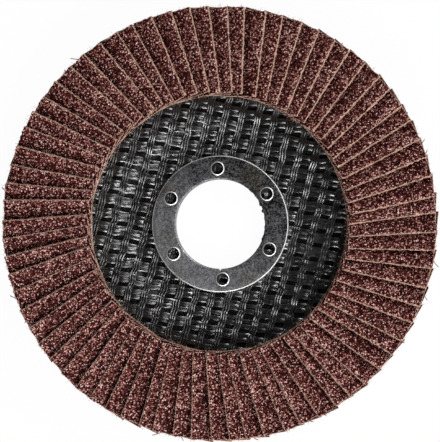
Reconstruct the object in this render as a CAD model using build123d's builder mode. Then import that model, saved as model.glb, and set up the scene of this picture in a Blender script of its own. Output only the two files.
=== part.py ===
from build123d import *
import math
import os

# A flat flap disc for an angle grinder, lying on its back with the abrasive facing up.
# The origin is on the bore axis, in the plane of the crimped lip's back face, which is
# the lowest face. +Z points out of the abrasive face. Millimetres and degrees.

os.makedirs("parts", exist_ok=True)

# Arbor ring: one pressed steel piece with a flange, a drawn neck and a crimped lip
bore_diameter = 22.23
neck_wall = 0.9
flange_diameter = 33.9
flange_thickness = 0.9
flange_edge_chamfer = 0.25
bore_mouth_chamfer = 0.3
lip_diameter = 28.4
lip_thickness = 0.7
pierced_count = 6
pierced_circle_diameter = 27.5
pierced_diameter = 2.4
pierced_rim_diameter = 3.5
pierced_rim_height = 0.2
pierced_rim_taper = 45
pierced_sides = 16
pierced_turn = 2.6
nick_width = 0.75
nick_depth = 0.7

# Backing plate: resin-bonded woven glass, pressed to a shallow dish
plate_thickness = 2.4
plate_diameter = 98.0
plate_hole_clearance = 0.05
dish_rise = 2.6
dish_bends = [(21.0, 0), (23.0, 0.5), (27.7, dish_rise)]

# Weave relief: the rows of weft yarn stand proud wherever they pass over a pair of warps
weave_turn = -14.7
weft_pitch = 3.58
weft_offset = -0.8
warp_pitch = 4.03
warp_offset = 0.5
weave_inner_radius = 19.0
weave_outer_radius = 29.3
knuckle_length = 3.2
knuckle_width = 1.9
knuckle_height = 0.25
knuckle_root = 0.45

# Flaps: flat pieces of coated abrasive cloth, shingled round the plate
flap_count = 72
flaps_per_node = 2
flap_thickness = 0.9
flap_tilt = 20.0
flap_inner_line = 31.9
flap_outer_line = 53.0
free_edge_offset = 5.1
glued_edge_offset = 9.2
first_flap_angle = 3.4
lay_drift = -0.77
lay_drift_twice = 0.36
edge_wander = 0.45
edge_skew = 0.22
end_wander = 0.2
end_slant = 1.0

# Adhesive bed: the toothed layer of glue that the flaps sit in, one side to a flap
bed_floor = 0.3
bed_inner_diameter = 64.0
bed_outer_diameter = 95.0
bed_block_height = 2.0
seat_cut_width = 5.5

# Heights of the stack
hub_back = lip_thickness
hub_front = hub_back + plate_thickness
flange_front = hub_front + flange_thickness
seat_height = hub_front + dish_rise
glued_edge_height = seat_height + bed_floor

# Radii, and the flap's true width
bore_radius = bore_diameter / 2
neck_radius = bore_radius + neck_wall
flange_radius = flange_diameter / 2
lip_radius = lip_diameter / 2
plate_hole_radius = neck_radius + plate_hole_clearance
plate_radius = plate_diameter / 2
pierced_circle_radius = pierced_circle_diameter / 2
tilt = math.radians(flap_tilt)
flap_pitch = 360 / flap_count
flap_width = (glued_edge_offset + free_edge_offset) / math.cos(tilt)
flap_middle_line = (flap_inner_line + flap_outer_line) / 2
seat_cut_length = 1.2 * (flap_outer_line - flap_inner_line)
dish_stations = [(plate_hole_radius, 0), *dish_bends, (plate_radius, dish_rise)]


def wander(index, step):
    """An uneven but repeatable value between -1 and 1, for one flap."""
    return math.sin(index * step) * math.cos(index * index * 0.37 + step)


def dish_line(height):
    """One side of the plate's section: hub floor, bent slope and flat rim."""
    return Polyline(*[(radius, height + rise) for radius, rise in dish_stations])


def dish_point(radius):
    """The height of the plate's front at a radius, and how steeply it leans there."""
    for (inner, low), (outer, high) in zip(dish_stations, dish_stations[1:]):
        if radius <= outer:
            lean = math.atan2(high - low, outer - inner)
            return hub_front + low + (radius - inner) * math.tan(lean), lean


def knuckle_root_plane(spot, weft):
    """The plane under one knuckle, square to the dish, with x along the weft."""
    height, lean = dish_point(spot.length)
    outwards = spot.normalized()
    normal = Vector(0, 0, math.cos(lean)) - outwards * math.sin(lean)
    root = spot + Vector(0, 0, height) - normal * knuckle_root
    return Plane(origin=root, x_dir=weft, z_dir=normal)


def flap_plane(index):
    """The underside of one flap: x runs outwards, y down to the glued edge, z out of the grit."""
    place = index * flap_pitch
    drift = lay_drift * math.cos(math.radians(place)) + lay_drift_twice * math.cos(math.radians(2 * place))
    turn = first_flap_angle + place + drift
    glued_edge = Vector(0, glued_edge_offset, glued_edge_height).rotate(Axis.Z, turn)
    outwards = Vector(1, 0, 0).rotate(Axis.Z, turn)
    grit_side = Vector(0, math.sin(tilt), math.cos(tilt)).rotate(Axis.Z, turn)
    return Plane(origin=glued_edge, x_dir=outwards, z_dir=grit_side)


def flap_corners(index):
    """The cut outline of one flap on its plane, with uneven edges and a slanted inner end."""
    inner_end = flap_inner_line + end_wander * wander(index, 1.7)
    outer_end = flap_outer_line + end_wander * wander(index, 2.9)
    width = flap_width + edge_wander * wander(index, 2.3)
    skew = edge_skew * wander(index, 4.1)
    return [
        (inner_end - end_slant, 0),
        (outer_end, 0),
        (outer_end, -width - skew),
        (inner_end, -width + skew),
    ]


# Arbor ring
with BuildPart() as arbor_ring:
    with BuildSketch(Plane.XZ) as ring_section:
        with BuildLine():
            Polyline(
                (bore_radius, 0),
                (lip_radius, 0),
                (lip_radius, hub_back),
                (neck_radius, hub_back),
                (neck_radius, hub_front),
                (flange_radius, hub_front),
                (flange_radius, flange_front),
                (bore_radius, flange_front),
                close=True,
            )
        make_face()
        bore_corners = ring_section.vertices().group_by(Axis.X)[0]
        chamfer(bore_corners.sort_by(Axis.Y)[-1], length=bore_mouth_chamfer)
        flange_corners = ring_section.vertices().group_by(Axis.X)[-1]
        chamfer(flange_corners.sort_by(Axis.Y)[-1], length=flange_edge_chamfer)
    revolve(axis=Axis.Z)
    with BuildSketch(Plane.XY.offset(flange_front)):
        with PolarLocations(pierced_circle_radius, pierced_count, start_angle=90 + pierced_turn):
            RegularPolygon(pierced_rim_diameter / 2, pierced_sides)
    extrude(amount=pierced_rim_height, taper=pierced_rim_taper)
    with BuildSketch(Plane.XY.offset(hub_front)):
        with PolarLocations(pierced_circle_radius, pierced_count, start_angle=90 + pierced_turn):
            RegularPolygon(pierced_diameter / 2, pierced_sides)
    extrude(amount=flange_thickness + pierced_rim_height, mode=Mode.SUBTRACT)
    with BuildSketch(Plane.XY):
        with BuildLine():
            Polyline(
                (-nick_width / 2, -bore_radius + nick_depth),
                (-nick_width / 2, -bore_radius),
                (0, -bore_radius - nick_depth),
                (nick_width / 2, -bore_radius),
                (nick_width / 2, -bore_radius + nick_depth),
                close=True,
            )
        make_face()
    extrude(amount=flange_front, mode=Mode.SUBTRACT)
arbor_ring.part.label = "arbor_ring"
export_step(arbor_ring.part, "parts/arbor_ring.step")

# Backing plate, with a knuckle wherever the weft comes up between two pairs of warps
weft = Vector(1, 0, 0).rotate(Axis.Z, weave_turn)
warp = Vector(0, 1, 0).rotate(Axis.Z, weave_turn)
weave_reach = math.ceil(weave_outer_radius / weft_pitch)

with BuildPart() as backing_plate:
    with BuildSketch(Plane.XZ):
        with BuildLine():
            front = dish_line(hub_front)
            back = dish_line(hub_back)
            Line(front @ 0, back @ 0)
            Line(front @ 1, back @ 1)
        make_face()
    revolve(axis=Axis.Z)
    for row in range(-weave_reach, weave_reach + 1):
        for column in range(-weave_reach, weave_reach + 1):
            along = warp_offset + column * warp_pitch
            across = weft_offset + row * weft_pitch
            spot = weft * along + warp * across
            if weave_inner_radius < spot.length < weave_outer_radius:
                with BuildSketch(knuckle_root_plane(spot, weft)):
                    Rectangle(knuckle_length, knuckle_width)
    extrude(amount=knuckle_root + knuckle_height)
backing_plate.part.label = "backing_plate"
export_step(backing_plate.part, "parts/backing_plate.step")

# Adhesive bed: as many sides as flaps, and every flap presses its seat and end wall into the glue
with BuildPart() as adhesive_bed:
    with BuildSketch(Plane.XY.offset(seat_height)):
        RegularPolygon(bed_outer_diameter / 2, flap_count)
        RegularPolygon(bed_inner_diameter / 2, flap_count, mode=Mode.SUBTRACT)
    extrude(amount=bed_block_height)
    for index in range(flap_count):
        with BuildSketch(flap_plane(index)):
            with Locations((flap_middle_line, 0)):
                Rectangle(seat_cut_length, seat_cut_width, align=(Align.CENTER, Align.MAX))
    extrude(amount=bed_block_height, mode=Mode.SUBTRACT)
adhesive_bed.part.label = "adhesive_bed"
export_step(adhesive_bed.part, "parts/adhesive_bed.step")

# Flaps, in neighbouring pairs that share a node
for first in range(0, flap_count, flaps_per_node):
    with BuildPart() as flap_pair:
        for index in range(first, first + flaps_per_node):
            with BuildSketch(flap_plane(index)):
                with BuildLine():
                    Polyline(*flap_corners(index), close=True)
                make_face()
        extrude(amount=flap_thickness)
    node = f"flaps_{first + 1:02d}_{first + flaps_per_node:02d}"
    flap_pair.part.label = node
    export_step(flap_pair.part, f"parts/{node}.step")
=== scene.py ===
import functools
import logging
import math
from dataclasses import dataclass, field
from enum import Enum

import bmesh
import bpy
import numpy as np
from mathutils import Matrix, Vector


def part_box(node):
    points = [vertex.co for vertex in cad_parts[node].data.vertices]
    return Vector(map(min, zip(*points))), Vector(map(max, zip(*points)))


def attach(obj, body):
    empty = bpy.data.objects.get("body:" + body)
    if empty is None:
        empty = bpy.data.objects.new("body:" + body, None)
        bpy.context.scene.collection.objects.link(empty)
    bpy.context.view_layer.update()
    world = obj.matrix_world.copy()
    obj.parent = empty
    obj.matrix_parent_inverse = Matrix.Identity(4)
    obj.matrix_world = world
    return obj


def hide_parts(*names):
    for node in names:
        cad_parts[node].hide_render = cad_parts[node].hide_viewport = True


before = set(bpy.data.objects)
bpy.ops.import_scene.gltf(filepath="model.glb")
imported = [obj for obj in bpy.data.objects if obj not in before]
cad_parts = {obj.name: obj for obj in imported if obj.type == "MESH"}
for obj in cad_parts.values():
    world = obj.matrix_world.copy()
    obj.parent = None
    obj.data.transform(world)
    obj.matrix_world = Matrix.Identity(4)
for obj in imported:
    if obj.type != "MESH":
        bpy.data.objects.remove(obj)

# A flap disc for an angle grinder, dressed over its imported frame. Meshes are worked out
# in millimetres, in the frame's own axes, and become metres as they are written.

LOG = logging.getLogger("flap_disc")
MM = 0.001
BODY = "root"

Colour = tuple[float, float, float, float]
Place = tuple[float, float, float]


class Slot(Enum):
    """Material slot names, which no piece in this script takes."""

    STEEL = "plated_steel"
    LAMINATE = "glass_laminate"
    CLOTH = "abrasive_cloth"


def srgb(red: float, green: float, blue: float) -> Colour:
    """Turns an sRGB colour into the linear one that shaders take.

    Args:
        red: Red, from 0 to 255.
        green: Green, from 0 to 255.
        blue: Blue, from 0 to 255.

    Returns:
        The linear colour with an alpha of 1.
    """
    shares = [value / 255 for value in (red, green, blue)]
    linear = [s / 12.92 if s <= 0.04045 else ((s + 0.055) / 1.055) ** 2.4 for s in shares]
    return (*linear, 1.0)


# ---------------------------------------------------------------------------- node trees


class Graph:
    """Adds nodes to a tree and links them, so that a formula reads in one line each."""

    def __init__(self, tree: bpy.types.NodeTree) -> None:
        """Keeps the tree that the nodes go into."""
        self.tree = tree

    def add(self, kind: str, inputs: dict | None = None, **settings: object) -> bpy.types.Node:
        """Adds one node.

        Args:
            kind: The node's type name.
            inputs: Sockets by name or number, each given a value or an output to link.
            **settings: The node's own properties.

        Returns:
            The new node.
        """
        node = self.tree.nodes.new(kind)
        for name, value in settings.items():
            setattr(node, name, value)
        for key, value in (inputs or {}).items():
            self.feed(node.inputs[key], value)
        return node

    def feed(self, socket: bpy.types.NodeSocket, value: object) -> None:
        """Links an output to a socket, or sets the socket's own value.

        Args:
            socket: The socket that takes the value.
            value: An output, a node whose first output is meant, or a plain value.
        """
        if isinstance(value, bpy.types.Node):
            value = value.outputs[0]
        if isinstance(value, bpy.types.NodeSocket):
            self.tree.links.new(value, socket)
        else:
            socket.default_value = value

    def math(self, operation: str, *values: object) -> bpy.types.NodeSocket:
        """One arithmetic step on numbers."""
        node = self.add("ShaderNodeMath", dict(enumerate(values)), operation=operation)
        return node.outputs[0]

    def vector(self, operation: str, *values: object) -> bpy.types.NodeSocket:
        """One arithmetic step on vectors.

        Args:
            operation: The step's name.
            *values: The vectors, or a vector and its factor for SCALE.

        Returns:
            The result, which is a number for LENGTH.
        """
        inputs = dict(enumerate(values))
        if operation == "SCALE":
            inputs = {"Vector": values[0], "Scale": values[1]}
        node = self.add("ShaderNodeVectorMath", inputs, operation=operation)
        return node.outputs["Value" if operation == "LENGTH" else "Vector"]

    def combine(self, x: object = 0.0, y: object = 0.0, z: object = 0.0) -> bpy.types.NodeSocket:
        """A vector from three numbers."""
        return self.add("ShaderNodeCombineXYZ", {"X": x, "Y": y, "Z": z}).outputs[0]

    def split(self, vector: object) -> list[bpy.types.NodeSocket]:
        """A vector's three numbers."""
        return list(self.add("ShaderNodeSeparateXYZ", {0: vector}).outputs)

    def rotate(self, vector: object, angle: object, axis: str) -> bpy.types.NodeSocket:
        """Turns a vector about the X or the Z axis."""
        inputs = {"Vector": vector, "Angle": angle}
        return self.add("ShaderNodeVectorRotate", inputs, rotation_type=f"{axis}_AXIS").outputs[0]

    def ramp(self, value: object, low: object, high: object, start: object = 0.0,
             end: object = 1.0, kind: str = "LINEAR") -> bpy.types.NodeSocket:
        """Stretches a number from one range to another, held at both ends.

        Args:
            value: The number.
            low: The input that gives start.
            high: The input that gives end.
            start: The result at low.
            end: The result at high.
            kind: LINEAR, or SMOOTHSTEP for an S-shaped step.

        Returns:
            The stretched number.
        """
        inputs = {0: value, 1: low, 2: high, 3: start, 4: end}
        node = self.add("ShaderNodeMapRange", inputs, interpolation_type=kind, clamp=True)
        return node.outputs[0]

    def noise(self, place: object, scale: object, detail: float = 2.0,
              roughness: float = 0.5) -> bpy.types.NodeSocket:
        """Smooth noise from 0 to 1 at a place."""
        inputs = {"Vector": place, "Scale": scale, "Detail": detail, "Roughness": roughness}
        return self.add("ShaderNodeTexNoise", inputs).outputs[0]

    def scale(self, value: object, *stops: tuple[float, Colour]) -> bpy.types.NodeSocket:
        """Colours along a scale.

        Args:
            value: The place on the scale, from 0 to 1.
            *stops: Each a position and its colour, in order.

        Returns:
            The colour.
        """
        node = self.add("ShaderNodeValToRGB", {0: value})
        elements = node.color_ramp.elements
        for position, _ in stops[1:-1]:
            elements.new(position)
        for element, (position, colour) in zip(elements, stops):
            element.position, element.color = position, colour
        return node.outputs[0]

    def tint(self, share: object, first: object, second: object) -> bpy.types.NodeSocket:
        """Mixes two colours."""
        node = self.add("ShaderNodeMix", {0: share, 6: first, 7: second}, data_type="RGBA")
        return node.outputs[2]


class ShapeTree(Graph):
    """A Geometry Nodes tree with named inputs for its sizes."""

    def __init__(self, name: str) -> None:
        """Starts an empty tree that takes a geometry and gives one.

        Args:
            name: The tree's name.
        """
        super().__init__(bpy.data.node_groups.new(name, "GeometryNodeTree"))
        for way in ("INPUT", "OUTPUT"):
            self.tree.interface.new_socket("Geometry", in_out=way, socket_type="NodeSocketGeometry")
        self.entry = self.tree.nodes.new("NodeGroupInput")
        self.values: dict[str, object] = {}

    @property
    def geometry(self) -> bpy.types.NodeSocket:
        """The geometry that comes in."""
        return self.entry.outputs["Geometry"]

    @property
    def position(self) -> bpy.types.NodeSocket:
        """The place of each point."""
        return self.add("GeometryNodeInputPosition").outputs[0]

    def size(self, name: str, value: object, kind: str = "NodeSocketFloat") -> bpy.types.NodeSocket:
        """Adds a named input and notes the value it is to have.

        Args:
            name: The input's name.
            value: Its value on the modifier.
            kind: The socket's type.

        Returns:
            The socket that carries the value inside the tree.
        """
        self.tree.interface.new_socket(name, in_out="INPUT", socket_type=kind)
        self.values[name] = value
        return self.entry.outputs[name]

    def attribute(self, name: str, kind: str = "FLOAT") -> bpy.types.NodeSocket:
        """Reads a named attribute."""
        node = self.add("GeometryNodeInputNamedAttribute", {"Name": name}, data_type=kind)
        return node.outputs["Attribute"]

    def store(self, geometry: object, name: str, value: object,
              kind: str = "FLOAT") -> bpy.types.NodeSocket:
        """Writes a named attribute on the points and returns the geometry."""
        inputs = {"Geometry": geometry, "Name": name, "Value": value}
        return self.add("GeometryNodeStoreNamedAttribute", inputs, data_type=kind).outputs["Geometry"]

    def move(self, geometry: object, place: object) -> bpy.types.Node:
        """Moves every point to a place."""
        return self.add("GeometryNodeSetPosition", {"Geometry": geometry, "Position": place})

    def repeat(self, points: object, piece: object, **inputs: object) -> bpy.types.Node:
        """Stands a copy on each point and makes the copies real.

        Args:
            points: The points.
            piece: The geometry that is copied.
            **inputs: The copies' Rotation and Scale, where they have one.

        Returns:
            The node that gives the copies.
        """
        laid = self.add("GeometryNodeInstanceOnPoints", {"Points": points, "Instance": piece, **inputs})
        return self.add("GeometryNodeRealizeInstances", {"Geometry": laid})

    def finish(self, geometry: object, *coats: tuple[bpy.types.Material, object]) -> None:
        """Closes the tree with Realize Instances and Set Material.

        Args:
            geometry: What the tree has made.
            *coats: Each a material and the faces that take it, or True for every face.
        """
        geometry = self.add("GeometryNodeRealizeInstances", {"Geometry": geometry})
        for material, faces in coats:
            inputs = {"Geometry": geometry, "Selection": faces, "Material": material}
            geometry = self.add("GeometryNodeSetMaterial", inputs)
        self.add("NodeGroupOutput", {"Geometry": geometry})

    def run(self, piece: bpy.types.Object) -> bpy.types.Object:
        """Puts the tree on an object, works it out and leaves a plain mesh.

        Args:
            piece: The object whose mesh goes in.

        Returns:
            The same object, holding the result.
        """
        modifier = piece.modifiers.new(self.tree.name, "NODES")
        modifier.node_group = self.tree
        for item in self.tree.interface.items_tree:
            if item.in_out == "INPUT" and item.name in self.values:
                modifier[item.identifier] = self.values[item.name]
        return settle(piece)


def settle(piece: bpy.types.Object) -> bpy.types.Object:
    """Turns an object's modifiers into its plain mesh.

    Args:
        piece: The object.

    Returns:
        The same object, with no modifiers.
    """
    bpy.context.view_layer.update()
    depsgraph = bpy.context.evaluated_depsgraph_get()
    shown = piece.evaluated_get(depsgraph)
    mesh = bpy.data.meshes.new_from_object(shown, preserve_all_data_layers=True, depsgraph=depsgraph)
    piece.modifiers.clear()
    piece.data = mesh
    return piece


# -------------------------------------------------------------------------------- meshes


def new_object(name: str, points: np.ndarray, faces: list) -> bpy.types.Object:
    """Makes a mesh object from points and faces, in metres.

    Args:
        name: The object's name.
        points: One row of x, y and z for each point.
        faces: Point numbers, face by face.

    Returns:
        The object, linked to the scene.
    """
    mesh = bpy.data.meshes.new(name)
    mesh.from_pydata(np.asarray(points, float).tolist(), [], faces)
    mesh.validate()
    piece = bpy.data.objects.new(name, mesh)
    bpy.context.scene.collection.objects.link(piece)
    return piece


def lathe(name: str, section: list[tuple[float, float]], segments: int) -> bpy.types.Object:
    """Turns a closed section round the Z axis.

    Args:
        name: The object's name.
        section: Radius and height of each corner, in millimetres, anticlockwise.
        segments: Steps round the axis.

    Returns:
        The closed ring.
    """
    turns = np.arange(segments) * 2 * math.pi / segments
    rings = [
        np.column_stack([r * np.cos(turns), r * np.sin(turns), np.full(segments, z)])
        for r, z in section
    ]
    count = len(section)
    faces = []
    for ring in range(count):
        first, second = ring * segments, (ring + 1) % count * segments
        for step in range(segments):
            after = (step + 1) % segments
            faces.append((first + step, first + after, second + after, second + step))
    return new_object(name, np.vstack(rings) * MM, faces)


def arc(centre: tuple[float, float], radius: float, start: float, end: float,
        steps: int) -> list[tuple[float, float]]:
    """Points along an arc, for a section.

    Args:
        centre: The arc's centre.
        radius: Its radius.
        start: Where it starts, in degrees.
        end: Where it ends, in degrees.
        steps: How many runs it has.

    Returns:
        The points, both ends included.
    """
    angles = np.radians(np.linspace(start, end, steps + 1))
    return [(centre[0] + radius * math.cos(a), centre[1] + radius * math.sin(a)) for a in angles]


def prism(name: str, outline: list[tuple[float, float]], low: float, high: float) -> bpy.types.Object:
    """Makes an upright prism, for cutting.

    Args:
        name: The object's name.
        outline: Its corners in plan, in millimetres.
        low: The height of its lower end.
        high: The height of its upper end.

    Returns:
        The closed prism.
    """
    count = len(outline)
    points = [(x, y, z) for z in (low, high) for x, y in outline]
    faces = [tuple(range(count))[::-1], tuple(range(count, 2 * count))]
    faces += [(k, (k + 1) % count, (k + 1) % count + count, k + count) for k in range(count)]
    piece = new_object(name, np.array(points) * MM, faces)
    mesh = bmesh.new()
    mesh.from_mesh(piece.data)
    bmesh.ops.recalc_face_normals(mesh, faces=mesh.faces)
    mesh.to_mesh(piece.data)
    mesh.free()
    return piece


def shade_smooth(piece: bpy.types.Object, angle: float = 35.0) -> None:
    """Smooths a mesh's shading, apart from its sharp edges.

    Args:
        piece: The object.
        angle: How sharp an edge has to be to stay one, in degrees.
    """
    mesh = piece.data
    mesh.shade_smooth()
    mesh.set_sharp_from_angle(angle=math.radians(angle))


def put(piece: bpy.types.Object, nodes: list[str] | None = None) -> bpy.types.Object:
    """Hands a finished piece over: its body and the nodes that it stands for.

    Args:
        piece: The finished object.
        nodes: The frame's nodes that it replaces, if any.

    Returns:
        The same object.
    """
    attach(piece, BODY)
    if nodes:
        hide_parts(*nodes)
    return piece


def give_points(piece: bpy.types.Object, rows: list[dict[str, float]]) -> None:
    """Gives each point of an object its own numbers, as attributes.

    Args:
        piece: The object.
        rows: One dictionary a point, all with the same names.
    """
    for name in rows[0]:
        layer = piece.data.attributes.new(name, "FLOAT", "POINT")
        layer.data.foreach_set("value", [row[name] for row in rows])


# ------------------------------------------------------------------- shared shader effects


class EffectGroup(Graph):
    """A shader node group with named inputs and outputs."""

    def __init__(self, name: str, inputs: dict[str, float], outputs: tuple[str, ...]) -> None:
        """Makes the group's sockets.

        Args:
            name: The group's name.
            inputs: Each number that it takes, with its default.
            outputs: Each number that it gives.
        """
        super().__init__(bpy.data.node_groups.new(name, "ShaderNodeTree"))
        sockets = self.tree.interface
        sockets.new_socket("Vector", in_out="INPUT", socket_type="NodeSocketVector")
        for label, value in inputs.items():
            made = sockets.new_socket(label, in_out="INPUT", socket_type="NodeSocketFloat")
            made.default_value = value
        for label in outputs:
            sockets.new_socket(label, in_out="OUTPUT", socket_type="NodeSocketFloat")
        self.entry = self.tree.nodes.new("NodeGroupInput")
        self.exit = self.tree.nodes.new("NodeGroupOutput")

    def take(self, name: str) -> bpy.types.NodeSocket:
        """One of the group's inputs."""
        return self.entry.outputs[name]

    def give(self, name: str, value: object) -> None:
        """Sends a value out."""
        self.feed(self.exit.inputs[name], value)


@functools.cache
def speckle_group() -> bpy.types.NodeTree:
    """Grains of uneven tone and height, for grit and for crushed resin.

    Returns:
        The group. Its outputs are Tone, Spark and Height.
    """
    crumb_fineness, dust_fineness = 2.1, 1.9
    group = EffectGroup("speckle", {"Scale": 3000.0, "Spark Share": 0.12}, ("Tone", "Spark", "Height"))
    place = group.take("Vector")
    size = group.take("Scale")
    grains = group.add("ShaderNodeTexVoronoi", {"Vector": place, "Scale": size})
    crumb_scale = group.math("MULTIPLY", size, crumb_fineness)
    crumbs = group.add("ShaderNodeTexVoronoi", {"Vector": place, "Scale": crumb_scale})
    dust = group.noise(place, group.math("MULTIPLY", size, dust_fineness), 3.0, 0.7)
    own = group.add("ShaderNodeSeparateColor", {0: grains.outputs["Color"]})
    small = group.add("ShaderNodeSeparateColor", {0: crumbs.outputs["Color"]})
    # A grain's own tone, with crumbs and dust over it, darker in the gap round it.
    tone = group.math("MULTIPLY_ADD", own.outputs[0], 0.75, group.math("MULTIPLY", small.outputs[0], 0.35))
    tone = group.math("MULTIPLY_ADD", dust, 0.6, group.math("ADD", tone, -0.25))
    gap = group.ramp(grains.outputs["Distance"], 0.3, 0.8, 1.0, 0.25)
    group.give("Tone", group.ramp(group.math("MULTIPLY", tone, gap), 0.0, 1.0))
    # Few grains catch the light, and only at their middles.
    edge = group.math("SUBTRACT", 1.0, group.take("Spark Share"))
    is_bright = group.math("GREATER_THAN", own.outputs[1], edge)
    middle = group.ramp(grains.outputs["Distance"], 0.35, 0.1)
    group.give("Spark", group.math("MULTIPLY", is_bright, middle))
    # Each grain is a cone of its own height, under a little dust.
    cone = group.math("MULTIPLY_ADD", grains.outputs["Distance"], -0.7, own.outputs[2])
    group.give("Height", group.math("MULTIPLY_ADD", dust, 0.5, cone))
    return group.tree


@functools.cache
def mottle_group() -> bpy.types.NodeTree:
    """Broad and fine blotches, as on dull plating or uneven resin.

    Returns:
        The group. Its outputs are Blotch and Fine.
    """
    fineness = 7.3
    soft_reach, sharpening = 0.34, -0.3
    group = EffectGroup("mottle", {"Scale": 300.0, "Sharpness": 0.5}, ("Blotch", "Fine"))
    place = group.take("Vector")
    broad = group.noise(place, group.take("Scale"), 5.0, 0.62)
    reach = group.math("MULTIPLY_ADD", group.take("Sharpness"), sharpening, soft_reach)
    low = group.math("SUBTRACT", 0.5, reach)
    high = group.math("ADD", 0.5, reach)
    group.give("Blotch", group.ramp(broad, low, high, kind="SMOOTHSTEP"))
    small = group.noise(place, group.math("MULTIPLY", group.take("Scale"), fineness), 4.0, 0.7)
    group.give("Fine", group.ramp(small, 0.3, 0.7))
    return group.tree


@functools.cache
def strand_group() -> bpy.types.NodeTree:
    """Fine fibres that run along a yarn, from its strand coordinates.

    Returns:
        The group. Its outputs are Fibre and Height.
    """
    group = EffectGroup("strand", {"Across": 9.0, "Along": 0.6}, ("Fibre", "Height"))
    run, girth, number = group.split(group.take("Vector"))
    along = group.math("MULTIPLY", run, group.take("Along"))
    across = group.math("MULTIPLY", girth, group.take("Across"))
    fibres = group.noise(group.combine(along, across, number), 1.0, 3.0, 0.65)
    group.give("Fibre", group.ramp(fibres, 0.48, 0.72))
    group.give("Height", fibres)
    return group.tree


# -------------------------------------------------------------------------------- finishes


@dataclass(frozen=True)
class Finish:
    """A procedural finish. Each kind fills in its own colours and nodes."""

    name: str

    def start(self) -> tuple[Graph, bpy.types.Material, bpy.types.Node]:
        """Makes an empty material.

        Returns:
            Its graph, the material and its Principled shader.
        """
        material = bpy.data.materials.new(self.name)
        material.use_nodes = True
        return Graph(material.node_tree), material, material.node_tree.nodes["Principled BSDF"]

    def place(self, graph: Graph) -> bpy.types.NodeSocket:
        """Object coordinates, in metres."""
        return graph.add("ShaderNodeTexCoord").outputs["Object"]

    def read(self, graph: Graph, name: str, output: str = "Fac") -> bpy.types.NodeSocket:
        """An attribute that the mesh carries."""
        return graph.add("ShaderNodeAttribute", attribute_name=name).outputs[output]

    def effect(self, graph: Graph, tree: bpy.types.NodeTree, inputs: dict) -> bpy.types.Node:
        """Places a shared effect.

        Args:
            graph: The material's graph.
            tree: The effect's group.
            inputs: The group's inputs by name.

        Returns:
            The group's node.
        """
        node = graph.add("ShaderNodeGroup", node_tree=tree)
        self.coat(graph, node, inputs)
        return node

    def coat(self, graph: Graph, node: bpy.types.Node, inputs: dict) -> None:
        """Feeds a node's inputs by name."""
        for name, value in inputs.items():
            graph.feed(node.inputs[name], value)

    def bump(self, graph: Graph, height: object, strength: float, reach: float) -> bpy.types.Node:
        """Turns a height into a normal.

        Args:
            graph: The material's graph.
            height: The height, from 0 to 1.
            strength: How much of it shows.
            reach: The full height, in millimetres.

        Returns:
            The node that gives the normal.
        """
        inputs = {"Height": height, "Strength": strength, "Distance": reach * MM}
        return graph.add("ShaderNodeBump", inputs)


@dataclass(frozen=True)
class GritFinish(Finish):
    """Brown fused grit held in red-brown resin."""

    name: str = "abrasive_grit"
    resin: Colour = srgb(26, 0, 0)
    crust: Colour = srgb(70, 18, 13)
    grain: Colour = srgb(162, 109, 101)
    facet: Colour = srgb(244, 212, 204)
    spark: Colour = srgb(255, 248, 244)
    worn: Colour = srgb(196, 158, 142)
    tones: tuple[float, ...] = (0.0, 0.27, 0.58, 0.95)
    grain_size: float = 0.4
    drift_scale: float = 90.0
    drift_share: float = 0.08
    height_share: float = 0.6
    painted_shade_depth: float = 0.2
    spark_share: float = 0.8
    bump_depth: float = 0.12

    @functools.cache
    def material(self) -> bpy.types.Material:
        """The grit's material, from the mesh's "grit_height", "inward" and "worn".

        Returns:
            The material.
        """
        graph, material, shader = self.start()
        place = self.place(graph)
        grains = self.effect(graph, speckle_group(), {"Vector": place, "Scale": 1 / (self.grain_size * MM)})
        drift = self.effect(graph, mottle_group(), {"Vector": place, "Scale": self.drift_scale})
        # Tall grains are pale and the resin between them dark. Away from the free edge the grit is darker
        # still, a painted shade where the next flap's edge overhangs it.
        tone = graph.math("MULTIPLY_ADD", drift.outputs["Blotch"], self.drift_share, grains.outputs["Tone"])
        height = self.read(graph, "grit_height")
        tone = graph.math("MULTIPLY_ADD", height, self.height_share, graph.math("ADD", tone, -0.4))
        shade = graph.ramp(self.read(graph, "inward"), 0.05, 1.05, -0.02, self.painted_shade_depth)
        tone = graph.math("SUBTRACT", tone, shade)
        body = graph.scale(tone, *zip(self.tones, (self.resin, self.crust, self.grain, self.facet)))
        # Pale glints at a few grains' middles are a painted highlight in the colour.
        glint = graph.math("MULTIPLY", grains.outputs["Spark"], self.spark_share)
        colour = graph.tint(glint, body, self.spark)
        # The cut edges are painted pale, most of all on their palest grains: partly edge wear, partly a
        # painted highlight along the edge.
        edge = graph.math("ADD", self.read(graph, "worn"), -0.5)
        edge = graph.math("MULTIPLY_ADD", grains.outputs["Tone"], 0.9, edge)
        self.coat(graph, shader, {
            "Base Color": graph.tint(graph.ramp(edge, 0.3, 0.9), colour, self.worn),
            "Roughness": graph.ramp(grains.outputs["Tone"], 0.0, 1.0, 0.75, 0.45),
            "Specular IOR Level": 0.1,
            "Normal": self.bump(graph, grains.outputs["Height"], 0.8, self.bump_depth),
        })
        return material


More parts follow.
